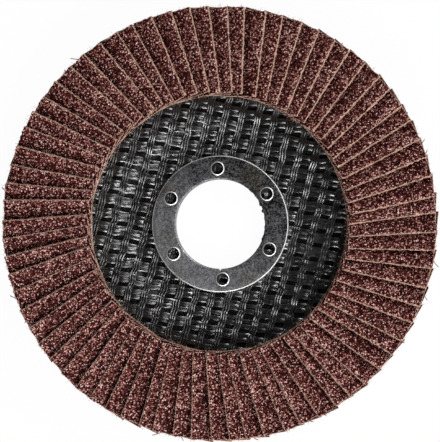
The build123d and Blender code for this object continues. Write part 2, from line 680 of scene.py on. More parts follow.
@dataclass(frozen=True)
class ClothFinish(Finish):
    """Stiff cotton backing, bare where it is cut."""

    name: str = "backing_cloth"
    light: Colour = srgb(214, 176, 152)
    dark: Colour = srgb(118, 80, 64)
    thread: float = 0.32
    drift_scale: float = 500.0
    bump_depth: float = 0.08

    @functools.cache
    def material(self) -> bpy.types.Material:
        """The cloth's material.

        Returns:
            The material.
        """
        graph, material, shader = self.start()
        place = self.place(graph)
        weave = self.effect(graph, speckle_group(), {"Vector": place, "Scale": 1 / (self.thread * MM)})
        drift = self.effect(graph, mottle_group(), {"Vector": place, "Scale": self.drift_scale})
        tone = graph.math("MULTIPLY_ADD", drift.outputs["Blotch"], 0.5, weave.outputs["Tone"])
        self.coat(graph, shader, {
            "Base Color": graph.tint(graph.ramp(tone, 0.2, 1.2), self.dark, self.light),
            "Roughness": 0.85,
            "Sheen Weight": 0.2,
            "Normal": self.bump(graph, weave.outputs["Height"], 0.6, self.bump_depth),
        })
        return material


@dataclass(frozen=True)
class LaminateFinish(Finish):
    """Black resin over glass yarn, glossy where the resin has pooled."""

    name: str = "black_laminate"
    resin: Colour = srgb(4, 4, 5)
    fibre: Colour = srgb(68, 67, 68)
    pool_scale: float = 420.0
    gloss: float = 1.0
    smoothest: float = 0.16
    bump_depth: float = 0.05
    stranded: bool = True

    @functools.cache
    def material(self) -> bpy.types.Material:
        """The laminate's material, with fibres where the mesh has "strand" coordinates.

        Returns:
            The material.
        """
        graph, material, shader = self.start()
        place = self.place(graph)
        inputs = {"Vector": place, "Scale": self.pool_scale, "Sharpness": 0.6}
        pools = self.effect(graph, mottle_group(), inputs)
        pool = pools.outputs["Blotch"]
        if self.stranded:
            fibres = self.effect(graph, strand_group(), {"Vector": self.read(graph, "strand", "Vector")})
            share = graph.math("MULTIPLY", fibres.outputs["Fibre"], graph.ramp(pool, 0.1, 0.9, 0.1, 1.3))
            height = fibres.outputs["Height"]
        else:
            share = graph.math("MULTIPLY", graph.ramp(pools.outputs["Fine"], 0.5, 0.75), 0.3)
            height = pools.outputs["Fine"]
        self.coat(graph, shader, {
            "Base Color": graph.tint(share, self.resin, self.fibre),
            "Roughness": graph.ramp(pool, 0.0, 1.0, self.smoothest + 0.3, self.smoothest),
            "Coat Weight": graph.ramp(pool, 0.3, 0.75, 0.1 * self.gloss, self.gloss),
            "Coat Roughness": 0.12,
            "Specular IOR Level": self.gloss,
            "Normal": self.bump(graph, height, 0.9, self.bump_depth),
        })
        return material


@dataclass(frozen=True)
class SteelFinish(Finish):
    """Dull zinc plating with blotches, flecks, scuffs and stains, its outer edge painted near white as
    partly wear and partly a painted highlight.
    """

    name: str = "plated_steel"
    light: Colour = srgb(196, 196, 200)
    dark: Colour = srgb(30, 30, 32)
    stain: Colour = srgb(120, 112, 84)
    bare_and_highlit: Colour = srgb(250, 250, 250)
    blotch_scale: float = 330.0
    blotch_share: float = 0.4
    fleck_scale: float = 2600.0
    fleck_share: float = 0.55
    scuff_scale: float = 1400.0
    scuff_share: float = 0.35
    stain_scale: float = 120.0
    stain_share: float = 0.25
    stain_shift: Place = (0.3, 0.1, 0.2)
    painted_reflection_reach: float = 20.0
    edge: float = 16.95
    bright_edge_width: float = 0.3
    bump_depth: float = 0.03

    def mottle(self, graph: Graph, place: object, scale: float, sharpness: float) -> bpy.types.Node:
        """Blotches of one size."""
        return self.effect(graph, mottle_group(), {"Vector": place, "Scale": scale, "Sharpness": sharpness})

    @functools.cache
    def material(self) -> bpy.types.Material:
        """The plated steel's material.

        Returns:
            The material.
        """
        graph, material, shader = self.start()
        place = self.place(graph)
        blotch = self.mottle(graph, place, self.blotch_scale, 0.3)
        flecks = self.mottle(graph, place, self.fleck_scale, 0.8)
        stains = self.mottle(graph, graph.vector("ADD", place, self.stain_shift), self.stain_scale, 0.8)
        inputs = {"Vector": place, "Scale": self.scuff_scale, "Spark Share": 0.05}
        scuffs = self.effect(graph, speckle_group(), inputs)
        # A painted reflection: the tone fades across the ring, from -X and -Y to +X and +Y.
        x, y, _ = graph.split(place)
        side = graph.ramp(graph.math("ADD", x, y), -self.painted_reflection_reach * MM, self.painted_reflection_reach * MM, 0.75, 0.0)
        tone = graph.math("MULTIPLY_ADD", blotch.outputs["Blotch"], self.blotch_share, side)
        tone = graph.math("MULTIPLY_ADD", flecks.outputs["Blotch"], self.fleck_share, tone)
        tone = graph.math("MULTIPLY_ADD", scuffs.outputs["Spark"], self.scuff_share, tone)
        body = graph.tint(graph.ramp(tone, 0.3, 1.75), self.dark, self.light)
        # The outer edge is painted near white: partly unplated metal at the edge, partly a painted
        # highlight.
        radius = graph.vector("LENGTH", graph.vector("MULTIPLY", place, (1.0, 1.0, 0.0)))
        start, full = self.edge - self.bright_edge_width, self.edge - self.bright_edge_width / 2
        bright_edge_band = graph.ramp(radius, start * MM, full * MM, 0.0, 0.9)
        body = graph.tint(bright_edge_band, body, self.bare_and_highlit)
        mark = graph.math("MULTIPLY", graph.ramp(stains.outputs["Blotch"], 0.75, 1.0), self.stain_share)
        grain = graph.ramp(blotch.outputs["Fine"], 0.0, 1.0, 0.36, 0.56)
        self.coat(graph, shader, {
            "Base Color": graph.tint(mark, body, self.stain),
            "Metallic": 1.0,
            "Roughness": graph.math("MULTIPLY_ADD", bright_edge_band, 0.15, grain),
            "Normal": self.bump(graph, blotch.outputs["Fine"], 0.35, self.bump_depth),
        })
        return material


@dataclass(frozen=True)
class RimFinish(Finish):
    """Steel on a rolled rim, painted pale on its outer side and dark towards the hole: a painted highlight
    and painted shade.
    """

    name: str = "burnished_rim"
    painted_highlight: Colour = srgb(255, 255, 255)
    painted_inner_shade: Colour = srgb(20, 20, 20)

    @functools.cache
    def material(self) -> bpy.types.Material:
        """The rim's material, from the mesh's "outward".

        Returns:
            The material.
        """
        graph, material, shader = self.start()
        # The outward side is painted pale and the side towards the hole dark, a painted highlight and
        # painted shade.
        share = graph.ramp(self.read(graph, "outward"), -0.2, 0.3)
        colour = graph.tint(share, self.painted_inner_shade, self.painted_highlight)
        self.coat(graph, shader, {"Base Color": colour, "Metallic": 1.0, "Roughness": 0.5})
        return material


@dataclass(frozen=True)
class GlueFinish(Finish):
    """Dark filled epoxy that the flaps stand in."""

    name: str = "resin_glue"
    light: Colour = srgb(84, 58, 48)
    dark: Colour = srgb(40, 27, 24)
    blotch_scale: float = 600.0
    grain_scale: float = 2500.0
    bump_depth: float = 0.1

    @functools.cache
    def material(self) -> bpy.types.Material:
        """The glue's material.

        Returns:
            The material.
        """
        graph, material, shader = self.start()
        place = self.place(graph)
        blotch = self.effect(graph, mottle_group(), {"Vector": place, "Scale": self.blotch_scale})
        grains = self.effect(graph, speckle_group(), {"Vector": place, "Scale": self.grain_scale})
        self.coat(graph, shader, {
            "Base Color": graph.tint(blotch.outputs["Blotch"], self.dark, self.light),
            "Roughness": graph.ramp(grains.outputs["Tone"], 0.0, 1.0, 0.3, 0.55),
            "Normal": self.bump(graph, grains.outputs["Height"], 0.5, self.bump_depth),
        })
        return material


@dataclass(frozen=True)
class FloorFinish(Finish):
    """Plain white paper that stays white to the camera and keeps a soft shadow."""

    name: str = "studio_floor"
    paper: Colour = srgb(235, 235, 235)
    shown: float = 0.97

    @functools.cache
    def material(self) -> bpy.types.Material:
        """The floor's material.

        Returns:
            The material.
        """
        graph, material, shader = self.start()
        self.coat(graph, shader, {"Base Color": self.paper, "Roughness": 0.9})
        light = graph.add("ShaderNodeEmission", {"Color": (1, 1, 1, 1), "Strength": 1.0})
        ray = graph.add("ShaderNodeLightPath")
        seen = graph.math("MAXIMUM", ray.outputs["Is Camera Ray"], ray.outputs["Is Glossy Ray"])
        seen = graph.math("MAXIMUM", seen, ray.outputs["Is Transmission Ray"])
        share = graph.math("MULTIPLY", seen, self.shown)
        mix = graph.add("ShaderNodeMixShader", {0: share, 1: shader, 2: light})
        graph.feed(material.node_tree.nodes["Material Output"].inputs["Surface"], mix)
        return material


# ---------------------------------------------------------------------------------- flaps


class Uneven(Enum):
    """The steps that tell one uneven measure of a flap from another."""

    INNER_END = 1.7
    WIDTH = 2.3
    OUTER_END = 2.9
    SKEW = 4.1
    LIFT = 5.3


@dataclass
class FlapFan:
    """The shingled ring of flaps: how each is cut and laid, and the meshes they make."""

    # How a flap is cut.
    count: int = 72
    thickness: float = 0.9
    inner_line: float = 31.9
    outer_line: float = 53.0
    edge_wander: float = 0.45
    edge_skew: float = 0.22
    end_wander: float = 0.2
    end_slant: float = 1.0
    # How it lies.
    tilt: float = 20.0
    free_edge_offset: float = 5.1
    glued_edge_offset: float = 9.2
    glued_edge_height: float = 6.0
    first_angle: float = 3.4
    lay_drift: float = -0.77
    lay_drift_twice: float = 0.36
    # How far it leaves its plane: a lifted free edge, a crown over the part that shows, and waves.
    lift_spread: float = 0.4
    lift_drop: float = 0.12
    bow: float = 0.2
    wave_pitch: float = 6.25
    wave_height: float = 0.5
    noise_stride: float = 31.7
    # Its grit, its bare cloth and its frayed edges.
    grit_size: float = 0.42
    grit_depth: float = 0.3
    grain_share: float = 0.45
    dust_share: float = 0.3
    chip_share: float = 0.4
    cloth_share: float = 0.62
    fray_size: float = 0.8
    fray_reach: float = 0.572
    layer_stride: float = 7.0
    # The mesh.
    per_piece: int = 12
    grit_step: float = 0.2
    shown_band: float = 6.0
    grit: GritFinish = field(default_factory=GritFinish)
    cloth: ClothFinish = field(default_factory=ClothFinish)

    @property
    def width(self) -> float:
        """A flap's cut width, from its glued edge to its free edge."""
        return (self.glued_edge_offset + self.free_edge_offset) / math.cos(math.radians(self.tilt))

    @property
    def length(self) -> float:
        """A flap's cut length, from its inner end to its outer end."""
        return self.outer_line - self.inner_line

    @property
    def band_share(self) -> float:
        """The width of the band that a flap shows, as a share of its distance from the bore axis."""
        return math.sin(2 * math.pi / self.count) / math.cos(math.radians(self.tilt))

    @staticmethod
    def wander(index: int, measure: Uneven) -> float:
        """An uneven but repeatable value between -1 and 1, for one measure of one flap."""
        return math.sin(index * measure.value) * math.cos(index * index * 0.37 + measure.value)

    def turn(self, index: int) -> float:
        """The angle that a flap lies at.

        Args:
            index: The flap's number, from 0.

        Returns:
            The angle, in degrees.
        """
        place = index * 360 / self.count
        swing = math.radians(place)
        drift = self.lay_drift * math.cos(swing) + self.lay_drift_twice * math.cos(2 * swing)
        return self.first_angle + place + drift

    def lay(self, index: int) -> dict[str, float]:
        """What the tree needs to know about one flap.

        Args:
            index: The flap's number, from 0.

        Returns:
            Its attributes by name.
        """
        return {
            "turn": math.radians(self.turn(index)),
            "inner_end": self.inner_line + self.end_wander * self.wander(index, Uneven.INNER_END),
            "slant": self.end_slant,
            "outer_end": self.outer_line + self.end_wander * self.wander(index, Uneven.OUTER_END),
            "cut_width": self.width + self.edge_wander * self.wander(index, Uneven.WIDTH),
            "skew": self.edge_skew * self.wander(index, Uneven.SKEW),
            "lift": self.lift_spread * self.wander(index, Uneven.LIFT) - self.lift_drop,
            "number": float(index),
        }

    def blank(self) -> bpy.types.Object:
        """One closed flap on unit coordinates, fine where its grit shows.

        Returns:
            The object. "blank" holds each point's share along, across and up, "rim" points
            out of the cut edges, and "is_grit" marks the faces that carry grit.
        """
        columns = round(self.length / self.grit_step)
        fine_rows = round(self.shown_band / self.grit_step)
        band = self.shown_band / self.width
        along = np.linspace(0, 1, columns + 1)
        across = np.concatenate([[0.0, (1 - band) / 2], 1 - np.linspace(band, 0, fine_rows + 1)])
        rows = len(across) - 1
        stride = columns + 1
        points = [(u, v, 1.0) for v in across for u in along]
        rims = [(float(column == columns) - float(column == 0), float(row == rows) - float(row == 0), 0.0)
                for row in range(rows + 1) for column in range(columns + 1)]
        corners = [row * stride + column for row in range(rows) for column in range(columns)]
        faces = [(corner, corner + stride, corner + stride + 1, corner + 1) for corner in corners]
        # Two walls hang from the edge of the top. The upper one is grit, as the top is.
        above = list(range(columns))
        above += [row * stride + columns for row in range(rows)]
        above += [rows * stride + column for column in range(columns, 0, -1)]
        above += [row * stride for row in range(rows, 0, -1)]
        grit_faces = len(faces) + len(above)
        for level in (self.cloth_share, 0.0):
            below = list(range(len(points), len(points) + len(above)))
            points += [(points[top][0], points[top][1], level) for top in above]
            rims += [rims[top] for top in above]
            for step, top in enumerate(above):
                after = (step + 1) % len(above)
                faces.append((top, above[after], below[after], below[step]))
            above = below
        faces += self.underside(above, columns, rows)
        piece = new_object("flap_blank", np.array(points), faces)
        for name, values in (("blank", points), ("rim", rims)):
            layer = piece.data.attributes.new(name, "FLOAT_VECTOR", "POINT")
            layer.data.foreach_set("vector", np.array(values).ravel())
        layer = piece.data.attributes.new("is_grit", "BOOLEAN", "FACE")
        layer.data.foreach_set("value", [number < grit_faces for number in range(len(faces))])
        return piece

    @staticmethod
    def underside(ring: list[int], columns: int, rows: int) -> list[tuple[int, ...]]:
        """The flat faces under the blank.

        Args:
            ring: The points round its lower edge, from the inner end of the glued edge.
            columns: How many steps the edge has along the blank.
            rows: How many it has across.

        Returns:
            The faces: one strip for each column, and one for each end.
        """
        near, side = ring[: columns + 1], ring[columns : columns + rows + 1]
        far = ring[columns + rows : 2 * columns + rows + 1][::-1]
        other = [ring[0]] + ring[2 * columns + rows :][::-1]
        strips = [(near[k], near[k + 1], far[k + 1], far[k]) for k in range(1, columns - 1)]
        return strips + [(near[columns - 1], *side, far[columns - 1]), (near[1], far[1], *other[::-1])]

    def cut(self, tree: ShapeTree, along: object, across: object) -> tuple[bpy.types.NodeSocket, ...]:
        """Takes a point of the blank to its place on its own flap.

        Args:
            tree: The tree.
            along: The point's share along the blank.
            across: Its share across.

        Returns:
            The distance out, the distance up from the glued edge (below zero) and the flap's
            width there.
        """
        slant = tree.math("MULTIPLY", tree.attribute("slant"), tree.math("SUBTRACT", across, 1.0))
        inner = tree.math("ADD", tree.attribute("inner_end"), slant)
        reach = tree.math("SUBTRACT", tree.attribute("outer_end"), inner)
        x = tree.math("MULTIPLY_ADD", along, reach, inner)
        lean = tree.math("MULTIPLY", tree.attribute("skew"), tree.math("MULTIPLY_ADD", along, 2.0, -1.0))
        width = tree.math("ADD", tree.attribute("cut_width"), lean)
        y = tree.math("MULTIPLY", tree.math("MULTIPLY", across, -1.0), width)
        return x, y, width

    def sink_between_grains(self, tree: ShapeTree, spot: object) -> bpy.types.NodeSocket:
        """How far a point lies below the tops of the grains.

        Args:
            tree: The tree.
            spot: Where the point is, which differs from flap to flap.

        Returns:
            The depth, as a share of the grit's.
        """
        size = tree.size("Grit Size", self.grit_size)
        scale = tree.math("DIVIDE", 1.0, size)
        grains = tree.add("ShaderNodeTexVoronoi", {"Vector": spot, "Scale": scale})
        own = tree.split(grains.outputs["Color"])[0]
        dust = tree.noise(spot, tree.math("DIVIDE", 0.6, size), 2.0, 0.6)
        chip = tree.add("FunctionNodeRandomValue", {"Seed": 5}, data_type="FLOAT").outputs[1]
        dusty = tree.math("MULTIPLY", dust, self.dust_share)
        depth = tree.math("MULTIPLY_ADD", own, self.grain_share, dusty)
        return tree.math("MULTIPLY_ADD", chip, self.chip_share, depth)

    def rise(self, tree: ShapeTree, x: object, across: object, inward: object,
             band: object) -> bpy.types.NodeSocket:
        """How far a flap leaves its flat plane at a point.

        Args:
            tree: The tree.
            x: The point's distance out.
            across: Its share across the flap.
            inward: Its distance from the free edge, as a share of the band that shows.
            band: The width of that band.

        Returns:
            The height, in millimetres.
        """
        hump = tree.math("MULTIPLY", inward, tree.math("SUBTRACT", 1.0, inward))
        hump = tree.math("MAXIMUM", tree.math("MULTIPLY", hump, band), 0.0)
        crown = tree.math("MULTIPLY", hump, tree.size("Bow", self.bow))
        lifted = tree.math("MULTIPLY", tree.attribute("lift"), tree.math("POWER", across, 2.0))
        lifted = tree.math("ADD", lifted, crown)
        run = tree.math("MULTIPLY", x, 1 / self.wave_pitch)
        wave = tree.noise(tree.combine(run, self.seed(tree), 0.0), 1.0, 1.0)
        wave = tree.math("MULTIPLY_ADD", wave, self.wave_height, -self.wave_height / 2)
        return tree.math("MULTIPLY_ADD", wave, across, lifted)

    def seed(self, tree: ShapeTree) -> bpy.types.NodeSocket:
        """A number that keeps one flap's noise apart from the next one's."""
        return tree.math("MULTIPLY", tree.attribute("number"), self.noise_stride)

    def fray(self, tree: ShapeTree, x: object, y: object, up: object) -> bpy.types.NodeSocket:
        """How far a point of the cut edge is torn in or out.

        Args:
            tree: The tree.
            x: Its distance out.
            y: Its distance from the glued edge.
            up: Its share of the thickness, which sets the layers of cloth apart.

        Returns:
            The distance along the edge's "rim" direction, as a vector.
        """
        layer = tree.math("ADD", self.seed(tree), tree.math("MULTIPLY", up, self.layer_stride))
        scale = tree.math("DIVIDE", 1.0, tree.size("Fray Size", self.fray_size))
        ragged = tree.noise(tree.combine(x, y, layer), scale, 4.0, 0.75)
        ragged = tree.math("MULTIPLY_ADD", ragged, 2.0, -1.0)
        ragged = tree.math("MULTIPLY", ragged, tree.size("Fray Reach", self.fray_reach))
        rim = tree.vector("MULTIPLY", tree.attribute("rim", "FLOAT_VECTOR"), (1.0, -1.0, 0.0))
        return tree.vector("SCALE", rim, ragged)

    def to_frame(self, tree: ShapeTree, place: object) -> bpy.types.NodeSocket:
        """Takes a place on a flap's plane to the object's frame, in metres.

        Args:
            tree: The tree.
            place: The place, in millimetres.

        Returns:
            The place in the frame.
        """
        tilt = tree.size("Tilt", math.radians(self.tilt))
        tilted = tree.rotate(place, tree.math("MULTIPLY", tilt, -1.0), "X")
        offset = tree.size("Glued Edge Offset", self.glued_edge_offset)
        height = tree.size("Glued Edge Height", self.glued_edge_height)
        raised = tree.vector("ADD", tilted, tree.combine(0.0, offset, height))
        return tree.vector("SCALE", tree.rotate(raised, tree.attribute("turn"), "Z"), MM)

    def tree(self, blank: bpy.types.Object) -> ShapeTree:
        """The tree that cuts, lays and coats the flaps.

        Args:
            blank: The unit flap that every flap is made from.

        Returns:
            The tree, for a mesh of one point a flap.
        """
        tree = ShapeTree("flap_fan")
        source = tree.size("Blank", blank, "NodeSocketObject")
        model = tree.add("GeometryNodeObjectInfo", {"Object": source}).outputs["Geometry"]
        flaps = tree.repeat(tree.geometry, model)
        along, across, up = tree.split(tree.attribute("blank", "FLOAT_VECTOR"))
        x, y, width = self.cut(tree, along, across)
        band = tree.math("MULTIPLY", x, tree.size("Band Share", self.band_share))
        inward = tree.math("DIVIDE", tree.math("ADD", width, y), band)
        depth = self.sink_between_grains(tree, tree.combine(x, y, self.seed(tree)))
        is_top = tree.math("GREATER_THAN", up, 0.99)
        sunk = tree.math("MULTIPLY", depth, tree.size("Grit Depth", self.grit_depth))
        level = tree.math("MULTIPLY_ADD", up, tree.size("Thickness", self.thickness),
                          self.rise(tree, x, across, inward, band))
        z = tree.math("SUBTRACT", level, tree.math("MULTIPLY", sunk, is_top))
        place = tree.vector("ADD", tree.combine(x, y, z), self.fray(tree, x, y, up))
        marked = tree.move(flaps, self.to_frame(tree, place))
        # The cut edges' mask, for their wear and the painted highlight along them.
        ends, sides, _ = tree.split(tree.attribute("rim", "FLOAT_VECTOR"))
        worn = tree.math("MAXIMUM", tree.math("ABSOLUTE", ends), sides)
        masks = {"grit_height": tree.math("SUBTRACT", 1.0, depth), "inward": inward, "worn": worn}
        for name, mask in masks.items():
            marked = tree.store(marked, name, mask)
        is_grit = tree.attribute("is_grit", "BOOLEAN")
        is_bare = tree.add("FunctionNodeBooleanMath", {0: is_grit}, operation="NOT")
        tree.finish(marked, (self.grit.material(), is_grit), (self.cloth.material(), is_bare))
        return tree

    def build(self) -> list[bpy.types.Object]:
        """Makes every flap, a few to a piece.

        Returns:
            The pieces.
        """
        blank = self.blank()
        tree = self.tree(blank)
        pieces = []
        for first in range(0, self.count, self.per_piece):
            numbers = range(first, first + self.per_piece)
            name = f"flaps_{first + 1:02d}_to_{first + self.per_piece:02d}"
            piece = new_object(name, np.zeros((self.per_piece, 3)), [])
            give_points(piece, [self.lay(index) for index in numbers])
            nodes = [f"flaps_{index + 1:02d}_{index + 2:02d}" for index in numbers[::2]]
            pieces.append(put(tree.run(piece), nodes))
        bpy.data.objects.remove(blank)
        return pieces


@dataclass
class FrayedThreads:
    """Short threads that stand out of the flaps' cut edges."""

    fan: FlapFan
    name: str = "frayed_threads"
    radius: float = 0.035
    length: float = 0.75
    bend: float = 1.0
    shortest: float = 0.45
    longest: float = 1.35
    per_flap: int = 26
    free_edge_chance: float = 0.5
    inner_end_chance: float = 0.26
    first_share: float = 0.35
    free_edge_spread: tuple[float, float] = (0.5, 0.3)
    inner_end_spread: tuple[float, float] = (0.6, 0.4)
    outer_end_spread: tuple[float, float] = (0.9, 0.4)
    droop: float = 0.15
    seed: int = 7
    cloth: ClothFinish = field(default_factory=ClothFinish)

    def tree(self) -> ShapeTree:
        """The tree that stands a bent thread on each point.

        Returns:
            The tree, for a mesh of one point a thread with its "heading".
        """
        tree = ShapeTree(self.name)
        radius = tree.size("Radius", self.radius * MM)
        length = tree.size("Length", self.length * MM)
        bend = tree.size("Bend", self.bend)
        seed = tree.size("Seed", self.seed, "NodeSocketInt")
        line = tree.add("GeometryNodeCurveQuadraticBezier", {
            "Resolution": 4, "Start": (0, 0, 0), "Middle": (0.25, 0.1, 0.5), "End": (0.1, 0.55, 1.0)})
        limits = {2: self.shortest, 3: self.longest, "Seed": seed}
        size = tree.add("FunctionNodeRandomValue", limits, data_type="FLOAT")
        limits = {2: 0.0, 3: 2 * math.pi, "Seed": seed}
        spin = tree.add("FunctionNodeRandomValue", limits, data_type="FLOAT")
        heading = tree.attribute("heading", "FLOAT_VECTOR")
        lean = tree.add("FunctionNodeAlignRotationToVector", {"Vector": heading})
        own = tree.add("FunctionNodeAxisAngleToRotation", {"Axis": (0, 0, 1), "Angle": spin.outputs[1]})
        turn = tree.add("FunctionNodeRotateRotation", {0: lean, 1: own}, rotation_space="LOCAL")
        scale = tree.math("MULTIPLY", size.outputs[1], length)
        aside = tree.math("MULTIPLY", scale, bend)
        threads = tree.repeat(tree.geometry, line, Rotation=turn, Scale=tree.combine(aside, aside, scale))
        ring = tree.add("GeometryNodeCurvePrimitiveCircle", {"Resolution": 3, "Radius": radius})
        inputs = {"Curve": threads, "Profile Curve": ring, "Fill Caps": True}
        tube = tree.add("GeometryNodeCurveToMesh", inputs)
        tree.finish(tube, (self.cloth.material(), True))
        return tree

    def stand(self, lay: dict[str, float], spot: Place, heading: Place) -> tuple[np.ndarray, np.ndarray]:
        """Takes one thread's root and heading from its flap's plane to the object's frame.

        Args:
            lay: How its flap lies.
            spot: The root on the flap's plane, in millimetres.
            heading: The way it heads on that plane.

        Returns:
            The root in metres, and the heading.
        """
        fan = self.fan
        raised = Matrix.Translation((0, fan.glued_edge_offset, fan.glued_edge_height))
        tilted = raised @ Matrix.Rotation(-math.radians(fan.tilt), 4, "X")
        matrix = Matrix.Rotation(lay["turn"], 4, "Z") @ tilted
        return np.array(matrix @ Vector(spot)) * MM, np.array(matrix.to_3x3() @ Vector(heading))

    def root(self, lay: dict[str, float], chance: np.random.Generator) -> tuple[np.ndarray, np.ndarray]:
        """One thread on a flap's free edge or on one of its ends.

        Args:
            lay: How its flap lies.
            chance: The source of its unevenness.

        Returns:
            Its root and heading.
        """
        edge = chance.random()
        up = chance.uniform(0.0, self.fan.cloth_share) * self.fan.thickness
        if edge < self.free_edge_chance:
            x = chance.uniform(lay["inner_end"], lay["outer_end"])
            aside, upwards = self.free_edge_spread
            heading = (chance.normal(0, aside), -1.0, chance.normal(-self.droop, upwards))
            return self.stand(lay, (x, -lay["cut_width"], up), heading)
        share = chance.uniform(self.first_share, 1.0)
        if edge < self.free_edge_chance + self.inner_end_chance:
            x, way = lay["inner_end"] - lay["slant"] * (1 - share), -1.0
            aside, upwards = self.inner_end_spread
        else:
            x, way = lay["outer_end"], 1.0
            aside, upwards = self.outer_end_spread
        heading = (way, chance.normal(0, aside), chance.normal(0.0, upwards))
        return self.stand(lay, (x, -lay["cut_width"] * share, up), heading)

    def roots(self, chance: np.random.Generator) -> list[tuple[np.ndarray, np.ndarray]]:
        """Where the threads stand, and which way they head.

        Args:
            chance: The source of their unevenness.

        Returns:
            The root and heading of each.
        """
        lays = [self.fan.lay(index) for index in range(self.fan.count)]
        return [self.root(lay, chance) for lay in lays for _ in range(self.per_flap)]

    def build(self) -> list[bpy.types.Object]:
        """Makes all the threads as one piece.

        Returns:
            The piece.
        """
        roots, headings = zip(*self.roots(np.random.default_rng(self.seed)))
        piece = new_object(self.name, np.array(roots), [])
        layer = piece.data.attributes.new("heading", "FLOAT_VECTOR", "POINT")
        layer.data.foreach_set("vector", np.array(headings).ravel())
        return [put(self.tree().run(piece))]


@dataclass
class LooseThreads(FrayedThreads):
    """Long dusty threads that have worked loose from some outer ends.

    worked_loose holds each one's flap and its share of the way to the free edge.
    """

    name: str = "loose_threads"
    radius: float = 0.13
    length: float = 1.75
    bend: float = 0.3
    inset: float = 0.1
    root_share: float = 0.4
    way_out: float = 0.8
    dip: float = 0.3
    dip_spread: float = 0.1
    cloth: ClothFinish = ClothFinish("dusty_thread", srgb(150, 112, 98), srgb(60, 36, 30))
    worked_loose: tuple[tuple[int, float], ...] = (
        (4, 0.78), (4, 0.97), (6, 0.88), (11, 0.78), (26, 0.88), (27, 0.86), (34, 0.86), (40, 0.89),
        (41, 0.83), (51, 0.86), (52, 0.86), (56, 0.89), (59, 0.86), (60, 0.92), (65, 0.76), (68, 0.76),
        (70, 0.85))

    def roots(self, chance: np.random.Generator) -> list[tuple[np.ndarray, np.ndarray]]:
        """Where the loose threads leave their flaps' outer ends, and which way they head.

        Args:
            chance: The source of their unevenness.

        Returns:
            The root and heading of each.
        """
        roots = []
        for index, share in self.worked_loose:
            lay = self.fan.lay(index)
            up = self.root_share * self.fan.thickness
            spot = (lay["outer_end"] - self.inset, -lay["cut_width"] * share, up)
            aside, down = chance.choice([-1.0, 1.0]), chance.normal(-self.dip, self.dip_spread)
            roots.append(self.stand(lay, spot, (self.way_out, aside, down)))
        return roots


# --------------------------------------------------------------------------- backing plate


class Side(Enum):
    """Which face of the backing plate its yarns lie on, with the sign of its Z."""

    FRONT = 1.0
    BACK = -1.0


class Yarn(Enum):
    """The two ways that the glass yarns run."""

    WEFT = "wefts"
    WARP = "warps"


@dataclass(frozen=True)
class YarnSet:
    """The yarns that run one way: their rows, the rovings in a row, and a roving's shape.

    All rows are moved on by shift, a share of the pitch, and even rows lie higher by rest.
    """

    kind: Yarn
    pitch: float
    offset: float
    shift: float
    rest: float
    rovings: int
    roving_pitch: float
    width: float
    sway: float
    sides: int
    number_step: float = 0.013

    def lays(self, outer: float) -> list[dict[str, float]]:
        """How each roving lies.

        Args:
            outer: The radius that the rows reach.

        Returns:
            Each roving's distance from the middle, number and height at rest.
        """
        reach = math.ceil(outer / self.pitch) + 1
        lays = []
        for row in range(-reach, reach + 1):
            for roving in range(self.rovings):
                aside = (roving - (self.rovings - 1) / 2) * self.roving_pitch
                lays.append({
                    "middle": self.offset + (row + self.shift) * self.pitch + aside,
                    "number": row + roving * self.number_step,
                    "rest": self.rest if row % 2 == 0 else 0.0,
                })
        return lays


@dataclass(frozen=True)
class WovenFace:
    """The part of one face that its yarns cover, and the step between points along them."""

    side: Side
    inner: float
    outer: float
    step: float


